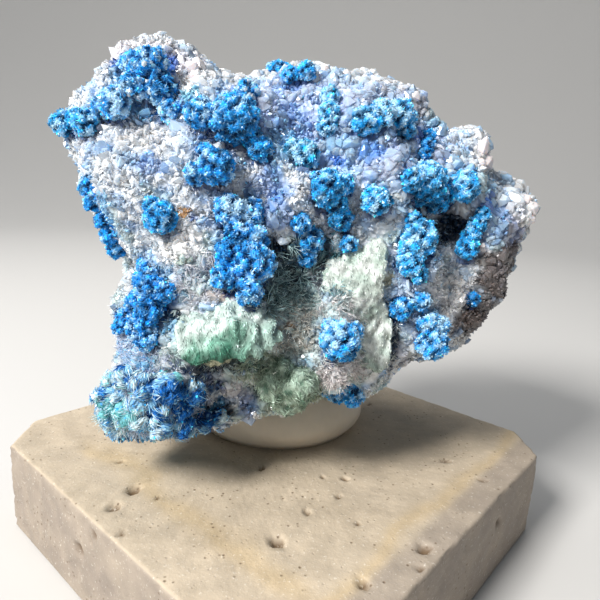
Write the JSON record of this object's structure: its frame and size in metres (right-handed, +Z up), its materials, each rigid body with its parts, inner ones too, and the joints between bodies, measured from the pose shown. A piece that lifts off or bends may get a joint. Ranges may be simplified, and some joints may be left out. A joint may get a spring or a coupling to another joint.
{
  "type": "shattuckite specimen on stand",
  "caption": "Mineral specimen: quartz rock crusted with blue shattuckite balls and fibrous green ledges, held by a pad of putty on a square stone slab",
  "frame": {"origin": "middle of the slab's underside", "axes": "+Z up out of the slab, -Y towards the viewer of the show face, +X to that viewer's right"},
  "size_m": [0.0646, 0.0646, 0.059],
  "materials": {
    "shattuckite": "matte, radiating needles",
    "quartz": "glassy, sugary druse",
    "fibrous_green": "silky, fibrous",
    "putty": "smooth, satin",
    "travertine": "honed, pitted"
  },
  "bodies": {
    "root": {"chrysocolla_apron": "fibrous_green", "chrysocolla_rib": "fibrous_green", "malachite_ledge": "fibrous_green", "mounting_putty": "putty", "quartz_matrix": "quartz", "shattuckite_back_left": "shattuckite", "shattuckite_back_low": "shattuckite", "shattuckite_back_middle": "shattuckite", "shattuckite_back_right": "shattuckite", "shattuckite_back_seed": "shattuckite", "shattuckite_big_ball": "shattuckite", "shattuckite_big_right": "shattuckite", "shattuckite_cave_rim": "shattuckite", "shattuckite_centre": "shattuckite", "shattuckite_column": "shattuckite", "shattuckite_crown": "shattuckite", "shattuckite_fall": "shattuckite", "shattuckite_foot": "shattuckite", "shattuckite_frosted_ball": "shattuckite", "shattuckite_left_chain": "shattuckite", "shattuckite_left_rim": "shattuckite", "shattuckite_left_side": "shattuckite", "shattuckite_left_tip": "shattuckite", "shattuckite_left_wall": "shattuckite", "shattuckite_lone_left": "shattuckite", "shattuckite_lone_middle": "shattuckite", "shattuckite_low_right": "shattuckite", "shattuckite_lower_lip": "shattuckite", "shattuckite_middle": "shattuckite", "shattuckite_right_side": "shattuckite", "shattuckite_right_top": "shattuckite", "shattuckite_saddle": "shattuckite", "shattuckite_seed": "shattuckite", "shattuckite_shoulder": "shattuckite", "shattuckite_teal_ball": "shattuckite", "shattuckite_thread": "shattuckite", "shattuckite_top_ridge": "shattuckite", "shattuckite_top_side": "shattuckite", "shattuckite_under_fall": "shattuckite", "shattuckite_valley": "shattuckite", "shattuckite_valley_seed": "shattuckite", "travertine_slab": "travertine"}
  },
  "joints": []
}
